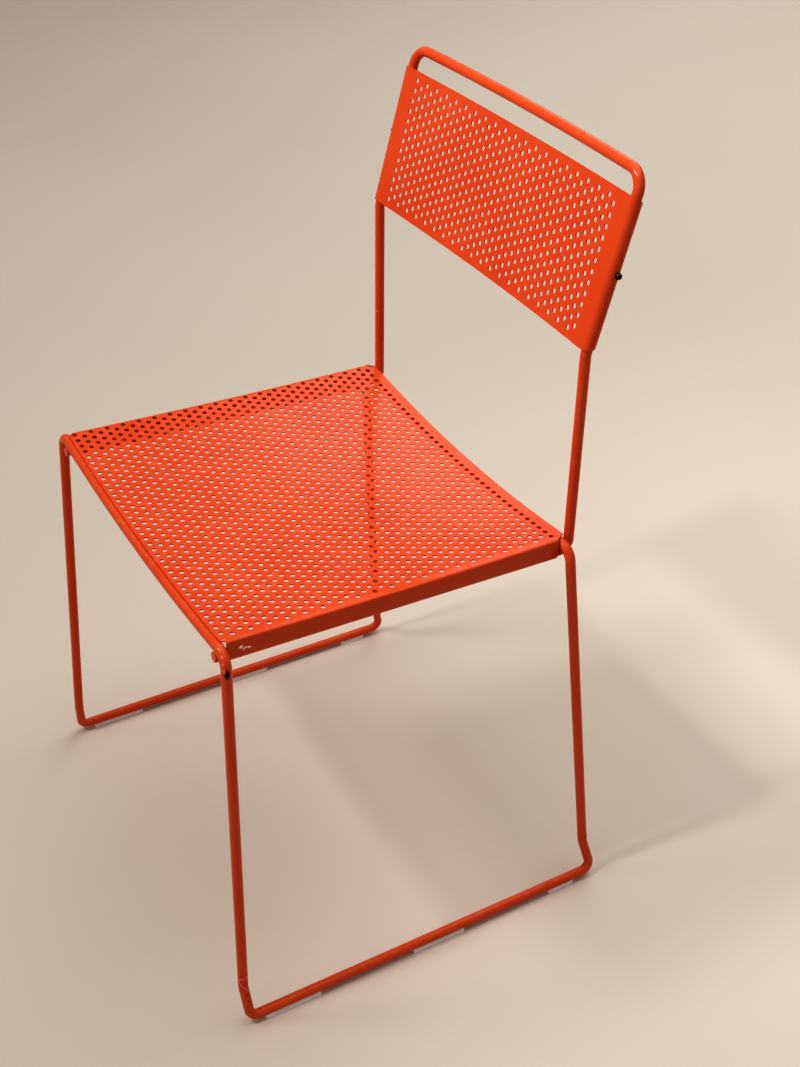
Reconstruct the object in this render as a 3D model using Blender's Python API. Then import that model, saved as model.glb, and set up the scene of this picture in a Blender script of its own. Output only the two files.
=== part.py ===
"""Steel rod chair with a perforated sheet seat and back.

Two bent rods carry two sheets. The leg frame is one closed loop: floor rail, legs and the cross
rails under the seat. The back frame is one open rod: it starts under the front rail, runs back
inside the seat's side flanges, turns up round the back rail and closes over the back panel.
Front is -Y, up is +Z, the floor is Z = 0 and the origin is the middle of the footprint.
"""
import bmesh
import bpy
import numpy as np
from math import ceil, cos, floor, pi, radians, sin, sqrt, tan
from mathutils import Matrix, Vector

# Driving dimensions, in metres and degrees
GAP = 0.0003                # clearance between pieces that touch
ROD_D = 0.010               # rod of both frames
SHEET_T = 0.0012            # seat and back sheet

SIDE_X = 0.1842             # side rods and uprights from the middle plane
FRONT_RAIL_Y = -0.196       # cross rail under the seat's front edge
BACK_RAIL_Y = 0.1562        # cross rail under its back edge
SEAT_FRONT_Z = 0.4312       # top of the seat in the middle, over the front rail
SEAT_BACK_Z = 0.4222        # the same over the back rail
SEAT_SAG = 0.0017           # how far the seat lies under the straight line between them
DISH_FRONT = 0.0104         # rise of the seat's side edges over its middle, at the front
DISH_BACK = 0.0128          # the same at the back
FLANGE_DEG = 150.0          # roll of the side flanges round the side rods, from level
BEND_R = 0.0022             # outside radius of the sheet's folds
SEAT_SETBACK = 0.0012       # seat's front edge behind the front rail's middle
FRONT_RELIEF = 0.0005       # notch between a flange's end and the front rail
BACK_RELIEF = 0.0005        # the same at the back rail
RELIEF_IN = 0.0010          # depth of both notches into the seat's side
FLANGE_CUT = 0.0030         # bevel of a flange's lower back corner

LEG_TOP_X = 0.2005          # where a leg's line meets its cross rail
LEG_FOOT_X = 0.2333         # where that line would meet the floor rail's level
FRONT_LEG_Y = -0.2081       # the same point's depth, front leg
BACK_LEG_Y = 0.1996         # and back leg
FOOT_X = 0.2386             # floor rails, kicked out from the legs' line
FRONT_FOOT_Y = -0.2040      # floor rail's front corner
BACK_FOOT_Y = 0.2055        # floor rail's back corner
KICK_Z = 0.047              # height at which a leg kicks out to its floor rail
CORNER_R = 0.014            # bend from leg to cross rail
FOOT_R = 0.010              # bend from leg to floor rail
KICK_R = 0.020              # gentle bend of the kick

STUB = 0.0045               # side rod's free end ahead of the front rail
KINK_LEAN = -0.0045         # upright's kink, forward of its foot
KINK_Z = 0.626              # height of the kink
BAR_Z = 0.7837              # height of the top bar
BAR_Y = 0.2015              # its ends' depth
BAR_BOW = 0.0057            # its middle behind its ends
KINK_R = 0.020
BAR_R = 0.018               # rounded top corners

PANEL_LOW = 0.004           # back panel's lower edge above the kink, along the upright
PANEL_H = 0.1395            # back panel along the upright
PANEL_BOW = 0.0070          # its middle behind its sides
WRAP_DEG = 236.0            # roll of its edges round the uprights
WRAP_TAPER_DEG = 14.0       # slope of the rolled tabs' ends

HOLE_PITCH = 0.0290         # holes stand in staggered rows at this pitch
HOLE_D = 0.0145
HOLE_RIM = 0.0030           # least sheet between a hole and the sheet's edge

GLIDE_T = 0.0030            # glide's sole under the floor rail
GLIDE_WALL = 0.0012         # its rim beside the rail
GLIDE_HALF = 0.0050         # half-width of the sole
GLIDE_EDGE = 0.0010         # upright edge of the sole, below its sloped flanks
GLIDE_RIM_DEG = 60.0        # its rim below the rail's middle
GLIDE_L = 0.061
GLIDE_BACK_L = 0.034        # the rear pair is shorter
GLIDE_Y = (-0.1586, 0.0100, 0.1645)

BUMPER_D = 0.0062
BUMPER_H = 0.0760           # bumper above the kink, along the upright
BUMPER_DEG = 5.0            # its direction, from straight out towards the rear

ROD_SIDES = 12
BEND_STEP = 15.0            # degrees of bend in one step of a rod

ROD_R = ROD_D / 2
RAIL_Z = ROD_R + GLIDE_T                                # floor rail's centre line
SEAT_HALF = SIDE_X + ROD_R + GAP + SHEET_T              # outside of the side flanges
UPRIGHT_Y = BACK_RAIL_Y + ROD_D + GAP                   # uprights stand against the back rail
SEAT_BACK_EDGE = UPRIGHT_Y - ROD_R - GAP
SEAT_FRONT_EDGE = FRONT_RAIL_Y + SEAT_SETBACK
ROW_STEP = HOLE_PITCH * sqrt(3) / 2                     # between the staggered rows


def seat_z(x, y):
    """Top of the seat: dished from side to side and a little from front to back."""
    u = (y - FRONT_RAIL_Y) / (BACK_RAIL_Y - FRONT_RAIL_Y)
    middle = SEAT_FRONT_Z + (SEAT_BACK_Z - SEAT_FRONT_Z) * u - SEAT_SAG * 4 * u * (1 - u)
    return middle + (DISH_FRONT + (DISH_BACK - DISH_FRONT) * u) * (x / SEAT_HALF) ** 2


def rail_z(x, y):
    """Centre line of a cross rail that carries the seat sheet."""
    return seat_z(x, y) - SHEET_T - GAP - ROD_R


def side_rod_z(y):
    """Centre line of a side rod, which passes under both cross rails."""
    def crossing(rail_y):
        rise = (seat_z(SIDE_X + GAP, rail_y) - seat_z(SIDE_X, rail_y)) / GAP
        return rail_z(SIDE_X, rail_y) - (ROD_D + GAP) * sqrt(1 + rise ** 2)

    front, back = crossing(FRONT_RAIL_Y), crossing(BACK_RAIL_Y)
    return front + (back - front) * (y - FRONT_RAIL_Y) / (BACK_RAIL_Y - FRONT_RAIL_Y)


def material(name, colour, metallic=0.0, roughness=0.4):
    mat = bpy.data.materials.new(name)
    mat.use_nodes = True
    shader = mat.node_tree.nodes["Principled BSDF"]
    shader.inputs["Base Color"].default_value = (*colour, 1.0)
    shader.inputs["Metallic"].default_value = metallic
    shader.inputs["Roughness"].default_value = roughness
    return mat


def add_object(name, bm, mat, smooth=None):
    """Put a finished bmesh in the scene as one named object."""
    bmesh.ops.recalc_face_normals(bm, faces=bm.faces)
    mesh = bpy.data.meshes.new(name)
    bm.to_mesh(mesh)
    bm.free()
    if smooth is not None:
        mesh.shade_smooth()
        mesh.set_sharp_from_angle(angle=radians(smooth))
    obj = bpy.data.objects.new(name, mesh)
    bpy.context.collection.objects.link(obj)
    mesh.materials.append(mat)
    return obj


def bent_path(corners, closed=False):
    """Points along a rod through its corners, each a (point, bend radius) pair."""
    points, count = [], len(corners)
    for i, (corner, radius) in enumerate(corners):
        if radius <= 0 or (not closed and i in (0, count - 1)):
            points.append(corner.copy())
            continue
        into = (corner - corners[i - 1][0]).normalized()
        out = (corners[(i + 1) % count][0] - corner).normalized()
        turn = into.angle(out)
        start = corner - into * radius * tan(turn / 2)
        centre = start + (out - into * into.dot(out)).normalized() * radius
        axis = into.cross(out).normalized()
        steps = max(2, ceil(turn / radians(BEND_STEP)))
        for k in range(steps + 1):
            points.append(centre + Matrix.Rotation(turn * k / steps, 3, axis) @ (start - centre))
    return points


def rod(name, points, mat, closed=False):
    """Sweep a round section along the points, without twist, as one closed solid."""
    count = len(points)
    tangents = []
    for i, point in enumerate(points):
        before = points[i - 1] if closed or i else point
        after = points[(i + 1) % count] if closed or i < count - 1 else point
        tangents.append(((point - before).normalized() + (after - point).normalized()).normalized())
    side = tangents[0].orthogonal().normalized()
    sides = [side]
    for i in range(1, count):
        side = tangents[i - 1].rotation_difference(tangents[i]) @ side
        side = (side - tangents[i] * side.dot(tangents[i])).normalized()
        sides.append(side)
    spin = 0.0
    if closed:
        last = tangents[-1].rotation_difference(tangents[0]) @ sides[-1]
        spin = last.angle(sides[0])
        if last.cross(sides[0]).dot(tangents[0]) < 0:
            spin = -spin
    bm = bmesh.new()
    rings = []
    for i, point in enumerate(points):
        twist = Matrix.Rotation(spin * i / count, 3, tangents[i])
        first = twist @ sides[i]
        second = tangents[i].cross(first)
        rings.append([bm.verts.new(point + ROD_R * (cos(a) * first + sin(a) * second))
                      for a in np.linspace(0, 2 * pi, ROD_SIDES, endpoint=False)])
    for i in range(count if closed else count - 1):
        here, there = rings[i], rings[(i + 1) % count]
        for k in range(ROD_SIDES):
            n = (k + 1) % ROD_SIDES
            bm.faces.new((here[k], here[n], there[n], there[k]))
    if not closed:
        bm.faces.new(reversed(rings[0]))
        bm.faces.new(rings[-1])
    return add_object(name, bm, mat, smooth=40)


def leg_frame(mat):
    """Closed loop: cross rails under the seat, four legs and two floor rails."""
    def leg(side, rail_y, foot_line_y, foot_y):
        top = Vector((side * LEG_TOP_X, rail_y, rail_z(LEG_TOP_X, rail_y)))
        foot_line = Vector((side * LEG_FOOT_X, foot_line_y, RAIL_Z))
        kick = foot_line.lerp(top, (KICK_Z - RAIL_Z) / (top.z - RAIL_Z))
        foot = Vector((side * FOOT_X, foot_y, RAIL_Z))
        return [(top, CORNER_R), (kick, KICK_R), (foot, FOOT_R)]

    def rail(y):
        reach = LEG_TOP_X - 1.5 * CORNER_R
        return [(Vector((x, y, rail_z(x, y))), 0) for x in np.linspace(-reach, reach, 13)]

    corners = rail(FRONT_RAIL_Y)
    corners += leg(1, FRONT_RAIL_Y, FRONT_LEG_Y, FRONT_FOOT_Y)
    corners += reversed(leg(1, BACK_RAIL_Y, BACK_LEG_Y, BACK_FOOT_Y))
    corners += reversed(rail(BACK_RAIL_Y))
    corners += leg(-1, BACK_RAIL_Y, BACK_LEG_Y, BACK_FOOT_Y)
    corners += reversed(leg(-1, FRONT_RAIL_Y, FRONT_LEG_Y, FRONT_FOOT_Y))
    rod("leg_frame", bent_path(corners, closed=True), mat, closed=True)


def kink_point(side):
    return Vector((side * SIDE_X, UPRIGHT_Y + KINK_LEAN, KINK_Z))


def upright_axis():
    """Direction of the raked upper part of an upright, and its forward normal."""
    along = Vector((0, BAR_Y - UPRIGHT_Y - KINK_LEAN, BAR_Z - KINK_Z)).normalized()
    return along, Vector((0, -along.z, along.y))


def back_frame(mat):
    """Open rod from one front end, round the back and over the panel, to the other."""
    def half(side):
        x = side * SIDE_X
        return [(Vector((x, FRONT_RAIL_Y - STUB, side_rod_z(FRONT_RAIL_Y - STUB))), 0),
                (Vector((x, UPRIGHT_Y, side_rod_z(UPRIGHT_Y))), ROD_D + GAP),
                (kink_point(side), KINK_R),
                (Vector((x, BAR_Y, BAR_Z)), BAR_R)]

    reach = SIDE_X - 1.5 * BAR_R
    bar = [(Vector((x, BAR_Y + BAR_BOW * (1 - (x / SIDE_X) ** 2), BAR_Z)), 0)
           for x in np.linspace(-reach, reach, 9)]
    corners = half(-1) + bar + list(reversed(half(1)))
    rod("back_frame", bent_path(corners), mat)


def perforated(bm, place, u_edges, v_edges, alternate):
    """Sheet surface with staggered six-sided holes.

    Rows follow one another along v and their holes along u. Rows of equal length are shifted by a
    quarter pitch either way; alternate rows lose one hole instead. Outer cells reach the edges.
    Returns the vertices of the lines between the rows.
    """
    half = HOLE_PITCH / 2
    u_mid, v_mid = sum(u_edges) / 2, sum(v_edges) / 2
    u_room = u_edges[1] - u_edges[0] - HOLE_D - 2 * HOLE_RIM - (0 if alternate else half)
    v_room = v_edges[1] - v_edges[0] - HOLE_D - 2 * HOLE_RIM
    holes = floor(u_room / HOLE_PITCH) + 1
    rows = floor(v_room / ROW_STEP) + 1
    steps = 2 * holes if alternate else 2 * holes + 1
    u_lines = [u_mid + (k - steps / 2) * half for k in range(steps + 1)]
    u_lines[0], u_lines[-1] = u_edges
    v_lines = [v_mid + (j - rows / 2) * ROW_STEP for j in range(rows + 1)]
    v_lines[0], v_lines[-1] = v_edges
    centre_u = [u_mid + (k - steps / 2) * half for k in range(steps + 1)]
    grid = [[bm.verts.new(place(u, v)) for u in u_lines] for v in v_lines]
    for j in range(rows):
        low, high = grid[j], grid[j + 1]
        v = v_mid + (j + 0.5 - rows / 2) * ROW_STEP
        first = j % 2
        count = holes - first if alternate else holes
        if first:
            bm.faces.new((low[0], low[1], high[1], high[0]))
        for i in range(count):
            k = first + 2 * i
            outer = (low[k], low[k + 1], low[k + 2], high[k + 2], high[k + 1], high[k])
            u = centre_u[k + 1]
            inner = []
            for a in (210, 270, 330, 30, 90, 150):
                du, dv = HOLE_D / 2 * cos(radians(a)), HOLE_D / 2 * sin(radians(a))
                inner.append(bm.verts.new(place(u + du, v + dv)))
            for n in range(6):
                m = (n + 1) % 6
                bm.faces.new((outer[n], outer[m], inner[m], inner[n]))
        k = first + 2 * count
        if k < steps:
            bm.faces.new((low[k], low[k + 1], high[k + 1], high[k]))
    return grid


def thicken(obj, thickness):
    """Give the surface its sheet thickness, half to each side."""
    solid = obj.modifiers.new("sheet", "SOLIDIFY")
    solid.thickness = thickness
    solid.offset = 0
    solid.use_even_offset = True
    return obj


def fold(bm, edge, rows):
    """Carry an open edge of the surface on through rows of points, one point for each vertex."""
    for points in rows:
        row = [bm.verts.new(point) for point in points]
        for k in range(len(row) - 1):
            bm.faces.new((edge[k], edge[k + 1], row[k + 1], row[k]))
        edge = row
    return edge


def seat_pan(mat):
    """Dished perforated sheet, its side flanges rolled round the side rods between the rails."""
    middle = SHEET_T / 2
    fold_r = BEND_R - middle
    edge_x = SEAT_HALF - middle - fold_r
    roll = ROD_R + GAP + middle
    ends = (FRONT_RAIL_Y + ROD_R + FRONT_RELIEF, BACK_RAIL_Y - ROD_R - BACK_RELIEF)

    def place(x, y):
        return Vector((x, y, seat_z(x, y) - middle))

    bm = bmesh.new()
    grid = perforated(bm, place, (-edge_x, edge_x), (SEAT_FRONT_EDGE, SEAT_BACK_EDGE), False)
    for side, column in ((-1, 0), (1, -1)):
        line = [row[column] for row in grid]
        wide, narrow = side * edge_x, side * (edge_x - RELIEF_IN)
        for y, corner, turn in zip(ends, (line[0], line[-1]), ((narrow, wide), (wide, narrow))):
            k = next(k for k in range(len(line) - 1) if line[k].co.y < y < line[k + 1].co.y)
            for x in turn:
                edge = bm.edges.get((line[k], line[k + 1]))
                fresh = bmesh.utils.edge_split(edge, line[k], 0.5)[1]
                fresh.co = place(x, y)
                k += 1
                line.insert(k, fresh)
            corner.co = place(narrow, corner.co.y)
        edge = [v for v in line if abs(v.co.x) > edge_x - 1e-6]
        base = [v.co.copy() for v in edge]
        edge = fold(bm, edge, [[p + Vector((side * fold_r * sin(a), 0, fold_r * (cos(a) - 1)))
                                for p in base] for a in (pi / 4, pi / 2)])
        rolled = []
        for a in np.linspace(0, radians(FLANGE_DEG), 11):
            rolled.append([Vector((side * (SIDE_X + roll * cos(a)), y, side_rod_z(y) - roll * sin(a)))
                           for y in (ends[0], ends[1] - FLANGE_CUT)])
        first = [bm.verts.new(p) for p in rolled[0]]
        bevel = bm.verts.new(Vector((edge[-1].co.x, ends[1], rolled[0][1].z + FLANGE_CUT)))
        bm.faces.new([*edge, bevel, first[1], first[0]])
        fold(bm, first, rolled[1:])
    thicken(add_object("seat_pan", bm, mat, smooth=30), SHEET_T)


def back_panel(mat):
    """Bowed perforated sheet with its sides rolled round the uprights."""
    along, ahead = upright_axis()
    roll = ROD_R + GAP + SHEET_T / 2
    low = kink_point(0) + along * PANEL_LOW

    def place(height, x):
        bow = PANEL_BOW * (1 - (x / SIDE_X) ** 2)
        return low + along * height + Vector((x, 0, 0)) + ahead * (roll - bow)

    bm = bmesh.new()
    grid = perforated(bm, place, (0.0, PANEL_H), (-SIDE_X, SIDE_X), True)
    for side, line in ((-1, grid[0]), (1, grid[-1])):
        axis = [v.co - ahead * roll for v in (line[0], line[-1])]
        rolled = []
        for a in np.linspace(0, radians(WRAP_DEG), 14)[1:]:
            out = Vector((side * sin(a), 0, 0)) + ahead * cos(a)
            inset = along * roll * a * tan(radians(WRAP_TAPER_DEG))
            rolled.append([axis[0] + out * roll + inset, axis[1] + out * roll - inset])
        first = [bm.verts.new(p) for p in rolled[0]]
        bm.faces.new([*line, first[1], first[0]])
        fold(bm, first, rolled[1:])
    thicken(add_object("back_panel", bm, mat, smooth=30), SHEET_T)


def glide(name, side, y, length, mat):
    """Plastic saddle under a floor rail, hollowed to its round and flat below."""
    bore = ROD_R + GAP
    rim = radians(GLIDE_RIM_DEG)
    profile = [(bore * cos(a), RAIL_Z + bore * sin(a)) for a in np.linspace(-rim, rim - pi, 9)]
    outer = ((bore + GLIDE_WALL) * cos(rim), RAIL_Z - (bore + GLIDE_WALL) * sin(rim))
    profile += [(-outer[0], outer[1]), (-GLIDE_HALF, GLIDE_EDGE), (-GLIDE_HALF, 0.0),
                (GLIDE_HALF, 0.0), (GLIDE_HALF, GLIDE_EDGE), outer]
    bm = bmesh.new()
    faces = [[bm.verts.new((side * FOOT_X + x, y + dy, z)) for x, z in profile]
             for dy in (-length / 2, length / 2)]
    bm.faces.new(faces[0])
    bm.faces.new(reversed(faces[1]))
    for k in range(len(profile)):
        n = (k + 1) % len(profile)
        bm.faces.new((faces[0][k], faces[1][k], faces[1][n], faces[0][n]))
    add_object(name, bm, mat, smooth=40)


def bumper(name, side, mat):
    """Round stud on the outer rear of the panel's roll, cut flat where it seats."""
    along, ahead = upright_axis()
    a = radians(BUMPER_DEG)
    out = (Vector((side * cos(a), 0, 0)) - ahead * sin(a)).normalized()
    seat = ROD_R + GAP + SHEET_T + GAP
    axis = kink_point(side) + along * BUMPER_H
    radius = BUMPER_D / 2
    bm = bmesh.new()
    bmesh.ops.create_uvsphere(bm, u_segments=14, v_segments=10, radius=radius)
    turn = Vector((0, 0, 1)).rotation_difference(out).to_matrix().to_4x4()
    bmesh.ops.transform(bm, matrix=Matrix.Translation(axis + out * (seat + radius * 0.45)) @ turn,
                        verts=bm.verts)
    cut = bmesh.ops.bisect_plane(bm, geom=[*bm.verts, *bm.edges, *bm.faces], plane_co=axis + out * seat,
                                 plane_no=-out, clear_outer=True)
    edges = [e for e in cut["geom_cut"] if isinstance(e, bmesh.types.BMEdge)]
    bmesh.ops.contextual_create(bm, geom=edges)
    add_object(name, bm, mat, smooth=40)


def main():
    for obj in list(bpy.data.objects):
        bpy.data.objects.remove(obj, do_unlink=True)
    rod_paint = material("powder coated steel rod", (0.78, 0.07, 0.02), roughness=0.35)
    sheet_paint = material("powder coated steel sheet", (0.82, 0.09, 0.03), roughness=0.4)
    sole = material("translucent nylon glide", (0.72, 0.70, 0.66), roughness=0.35)
    rubber = material("black moulded stud", (0.01, 0.01, 0.011), roughness=0.2)
    leg_frame(rod_paint)
    back_frame(rod_paint)
    seat_pan(sheet_paint)
    back_panel(sheet_paint)
    for side, hand in ((1, "right"), (-1, "left")):
        for y, place in zip(GLIDE_Y, ("front", "middle", "back")):
            length = GLIDE_BACK_L if place == "back" else GLIDE_L
            glide(f"glide_{place}_{hand}", side, y, length, sole)
        bumper(f"bumper_{hand}", side, rubber)


main()
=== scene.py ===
"""Steel rod chair with a perforated seat and back: its visible pieces, finishes and stage."""
from math import ceil, cos, pi, radians, sin, sqrt, tan

import bmesh
import bpy
import numpy as np
from bpy.props import FloatProperty, FloatVectorProperty, IntProperty, PointerProperty
from mathutils import Matrix, Vector


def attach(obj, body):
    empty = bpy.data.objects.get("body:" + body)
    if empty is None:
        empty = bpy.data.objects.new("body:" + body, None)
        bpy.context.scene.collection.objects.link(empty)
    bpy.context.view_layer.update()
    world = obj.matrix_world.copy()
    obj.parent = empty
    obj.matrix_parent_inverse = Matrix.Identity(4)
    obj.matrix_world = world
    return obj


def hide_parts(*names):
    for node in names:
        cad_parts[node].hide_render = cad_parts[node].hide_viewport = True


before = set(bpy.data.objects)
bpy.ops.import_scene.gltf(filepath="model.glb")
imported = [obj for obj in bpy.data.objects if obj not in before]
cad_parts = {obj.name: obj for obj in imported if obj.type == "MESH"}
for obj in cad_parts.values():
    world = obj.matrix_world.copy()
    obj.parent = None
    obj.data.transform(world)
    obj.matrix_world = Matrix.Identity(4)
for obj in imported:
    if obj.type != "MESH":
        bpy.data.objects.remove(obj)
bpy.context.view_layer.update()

bl_info = {
    "name": "Steel rod chair",
    "version": (1, 0, 0),
    "blender": (4, 5, 0),
    "location": "View3D > Sidebar > Chair",
    "description": "Bent steel rod chair with a perforated sheet seat and back",
    "category": "Add Mesh",
}

# Sizes are in metres and angles in degrees. Front is -Y, the floor is Z = 0.
# A count of points says how finely a curve is drawn.

# Where the two frames and the seat meet
SIDE_X = 0.1842                 # side rods and uprights from the middle plane
FRONT_RAIL_Y = -0.196
BACK_RAIL_Y = 0.1562
SEAT_FRONT_Z = 0.4312           # top of the seat in the middle, over the front rail
SEAT_BACK_Z = 0.4222            # the same over the back rail
SEAT_SAG = 0.0017               # how far the middle hangs between the rails
DISH_FRONT = 0.0104             # rise of the seat's sides over its middle, at the front
DISH_BACK = 0.0128

# Seat sheet
SEAT_HOLE_ROWS = 40
SEAT_HOLES_IN_ROW = 37
SEAT_PITCH = 0.010              # from hole to hole in a row
SEAT_ROW_STEP = 0.00866         # from row to row
SEAT_HOLES_X = -0.190           # half a pitch before the first hole of the first row
SEAT_HOLES_Y = -0.1889          # first row
BEND_R = 0.0022                 # outer radius of the bend from the seat to its flange
FLANGE_DEG = 150.0              # roll of the flange round the side rod
SEAT_SETBACK = 0.0012           # front edge behind the front rail's axis
RELIEF = 0.0005                 # ends of the flange clear of the cross rails
RELIEF_IN = 0.0010              # corner cut in at the end of the flange
CORNER_ROUND = 0.0030           # rounded front corners
BACK_CUT = (0.0054, 0.0082)     # back corners cut off askew: in, and back from the flange
BACK_CUT_ROUND = ((0.0006, 0.0008), (0.0015, 0.0))  # its end: further in, short of the edge
LIP_CUT = 0.0030                # most that the lip under the rod ends before the flange
LIP_START_DEG = 25.0            # where on the roll that slant begins
LIP_SLANT = 0.0028              # the slant per radian of roll
FOLD_POINTS = 6
FLANGE_POINTS = 19
TOUCHING = 1e-6                 # points closer than this lie on the same line
EDGE_SOFT = 0.0001              # width of a cut edge softened by the coating
EDGE_SOFT_DEG = 50.0            # edges sharper than this are softened

# Leg frame
LEG_TOP_X = 0.2005              # corner of leg and cross rail
LEG_FOOT_X = 0.2333             # where the slanted leg would meet the floor rail's height
FRONT_LEG_Y = -0.2081           # the same along Y
BACK_LEG_Y = 0.1996
FOOT_X = 0.2386                 # floor rails from the middle plane
FRONT_FOOT_Y = -0.2040
BACK_FOOT_Y = 0.2055
KICK_Z = 0.047                  # height of the slight bend above each foot
CORNER_R = 0.014                # bend radii of the rod's axis
FOOT_R = 0.010
KICK_R = 0.020
RAIL_POINTS = 41
BEND_STEP_DEG = 4.0             # turn from point to point in a bend
CURVE_END = 1.5                 # bend radii from a corner to the curved part of a rail or bar

# Back frame
STUB = 0.0045                   # end of the rod in front of the front rail's axis
SAWN_EDGE = 0.0006              # deburring of the sawn ends
KINK_LEAN = -0.0045             # how far the upright leans at its kink
KINK_Z = 0.626
BAR_Z = 0.7837
BAR_Y = 0.2015
BAR_BOW = 0.0057                # how much further back the middle of the bar lies
KINK_R = 0.020
BAR_R = 0.018
BAR_POINTS = 31

# Back sheet
PANEL_LOW = 0.004               # lower edge above the kink
PANEL_H = 0.1395
PANEL_BOW = 0.0070              # how much further back its middle lies
PANEL_HOLE_COLUMNS = 40
PANEL_HOLES_IN_COLUMN = 13      # every second column has one hole less
PANEL_PITCH = 0.01015           # from hole to hole in a column
PANEL_COLUMN_STEP = 0.00841     # from column to column
PANEL_HOLES_X = -0.1637         # first column
WRAP_DEG = 236.0                # roll of the sheet round the upright
WRAP_TAPER_DEG = 14.0           # slant of the wrap's upper and lower ends
WRAP_POINTS = 33

# Weld flash
WELD_R = 0.0034
WELD_HALF = 0.0011              # half its thickness
WELD_SIDES = 20
WELD_LAYERS = 10                # bands of faces from its bottom to its top

# Glides: place along the floor rail and length of each
GLIDES = (("front", -0.1586, 0.061), ("middle", 0.0100, 0.061), ("back", 0.1645, 0.034))
GLIDE_T = 0.0030                # plastic under the rail
GLIDE_WALL = 0.0012
GLIDE_HALF = 0.0050             # half the width of the sole
GLIDE_EDGE = 0.0010             # height of the sole's straight side
GLIDE_RIM_DEG = 60.0            # the clip's rim, below the rail's axis
GLIDE_BEVEL = 0.0003            # moulded bevel along the sole
GLIDE_ENDS = ((0.0, 0.0005), (0.0002, 0.0002), (0.0005, 0.0))   # in from the end, and inset
GLIDE_NOSE_DEG = (0, 20, 40, 55, 68, 78)    # the rear glide's nose, from its sides to its tip
CHANNEL_POINTS = 17

# Studs
BUMPER_H = 0.0760               # above the kink, along the upright
BUMPER_DEG = 5.0                # turned to the rear
STUD_SIDES = 28
STUD_FOOT = ((0.80, 0.0), (0.88, 0.0002), (0.88, 0.0005))       # share of the radius, height
STUD_CENTRE = 0.45              # height of the ball's centre as a share of its radius
STUD_START_DEG = -24.0          # where the ball begins, below its centre
BALL_POINTS = 16

# Wear and painted highlights
# the scuff colour also paints glints on a bend and a reflection on the back's roll
MARK_COLOURS = {"primer": "#FFF3EC", "rust": "#3A130C", "scuff": "#F08A6C"}
MARK_RAGGED = 1.6               # how strongly the grain frays the outline of a mark
MARK_EDGE = 0.08                # softness of that outline, as a share of the mark's reach
DUST_COLOUR = "#D9A793"

# Stage
FLOOR_HALF = 9                  # half the floor's width
CAMERA_AT = (1.0963, -0.5675, 1.2423)
CAMERA_AZ, CAMERA_EL, CAMERA_ROLL = 59.04, 35.12, 2.03
CAMERA_FOCAL = 50.354           # lens and sensor width in millimetres
CAMERA_SENSOR = 36.0
SKY_WHITE = (1.0, 0.98, 0.95, 1)
SPOT_DEG = 44.0                 # cone of the key light, soft from its middle to its rim
# name, kind, place, aim and size of each lamp; the power is a property of the same name
LAMPS = (
    ("key", "SPOT", (-0.75, -1.65, 2.5), (0.38, 0.85, 0.45), 0.3),
    ("glint", "AREA", (-0.03, -1.45, 2.7), (0.1, 0, 0.5), 0.18),
    ("catch", "AREA", (1.15, -1.85, 2.1), (0.1, 0.0, 0.45), 0.16),
    ("top", "AREA", (-0.2, 0.6, 3.0), (-0.1, 0.2, 0.2), 2.2),
    ("wash", "AREA", (-1.9, 3.0, 2.6), (-1.5, 3.3, 0.0), 3.0),
)


def linear(code):
    """sRGB hex colour as linear red, green and blue."""
    parts = [int(code[i:i + 2], 16) / 255 for i in (1, 3, 5)]
    return tuple(c / 12.92 if c <= 0.04045 else ((c + 0.055) / 1.055) ** 2.4 for c in parts)


class ChairSizes(bpy.types.PropertyGroup):
    """Sizes that the pieces share"""
    rod: FloatProperty(name="Rod", description="Diameter of the rod of both frames", default=0.010,
                       min=0.006, max=0.016, unit="LENGTH")
    sheet: FloatProperty(name="Sheet", description="Thickness of the seat and back sheet",
                         default=0.0012, min=0.0006, max=0.003, unit="LENGTH")
    clearance: FloatProperty(name="Clearance", description="Gap between pieces that touch",
                             default=0.0003, min=0.0001, max=0.001, unit="LENGTH")
    hole: FloatProperty(name="Hole", description="Diameter of the punched holes", default=0.0050,
                        min=0.002, max=0.0065, unit="LENGTH")
    bumper: FloatProperty(name="Bumper", description="Diameter of the round studs on the back",
                          default=0.0062, min=0.003, max=0.010, unit="LENGTH")
    rod_sides: IntProperty(name="Rod sides", description="Facets round the rod", default=28,
                           min=12, max=64)


class ChairColours(bpy.types.PropertyGroup):
    """Colours of the coat, the plastics and the floor"""
    coat: FloatVectorProperty(name="Coat", description="Powder coat on rods and sheets",
                              subtype="COLOR", size=3, min=0, max=1, default=linear("#D65C32"))
    glide: FloatVectorProperty(name="Glide", description="Translucent plastic of the glides",
                               subtype="COLOR", size=3, min=0, max=1, default=linear("#FFFAF6"))
    bumper: FloatVectorProperty(name="Bumper", description="Black plastic of the round studs",
                                subtype="COLOR", size=3, min=0, max=1, default=linear("#141415"))
    floor: FloatVectorProperty(name="Floor", description="Matt paint of the studio floor",
                               subtype="COLOR", size=3, min=0, max=1, default=linear("#DCD1C4"))


class ChairLights(bpy.types.PropertyGroup):
    """Power of the lamps and the strength of the sky"""
    key: FloatProperty(name="Key", description="Power of the soft light from the front left",
                       default=113.0, min=0, unit="POWER")
    glint: FloatProperty(name="Glint", description="Power of the small lamp that shows the gloss",
                         default=11.0, min=0, unit="POWER")
    catch: FloatProperty(name="Catch", description="Power of the faint lamp from the front right",
                         default=1.2, min=0, unit="POWER")
    top: FloatProperty(name="Top", description="Power of the wide light overhead",
                       default=20.0, min=0, unit="POWER")
    wash: FloatProperty(name="Wash", description="Power of the light over the far floor",
                        default=30.0, min=0, unit="POWER")
    sky: FloatProperty(name="Sky", description="Strength of the even light all round",
                       default=0.25, min=0, subtype="FACTOR")


# Shape

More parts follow.
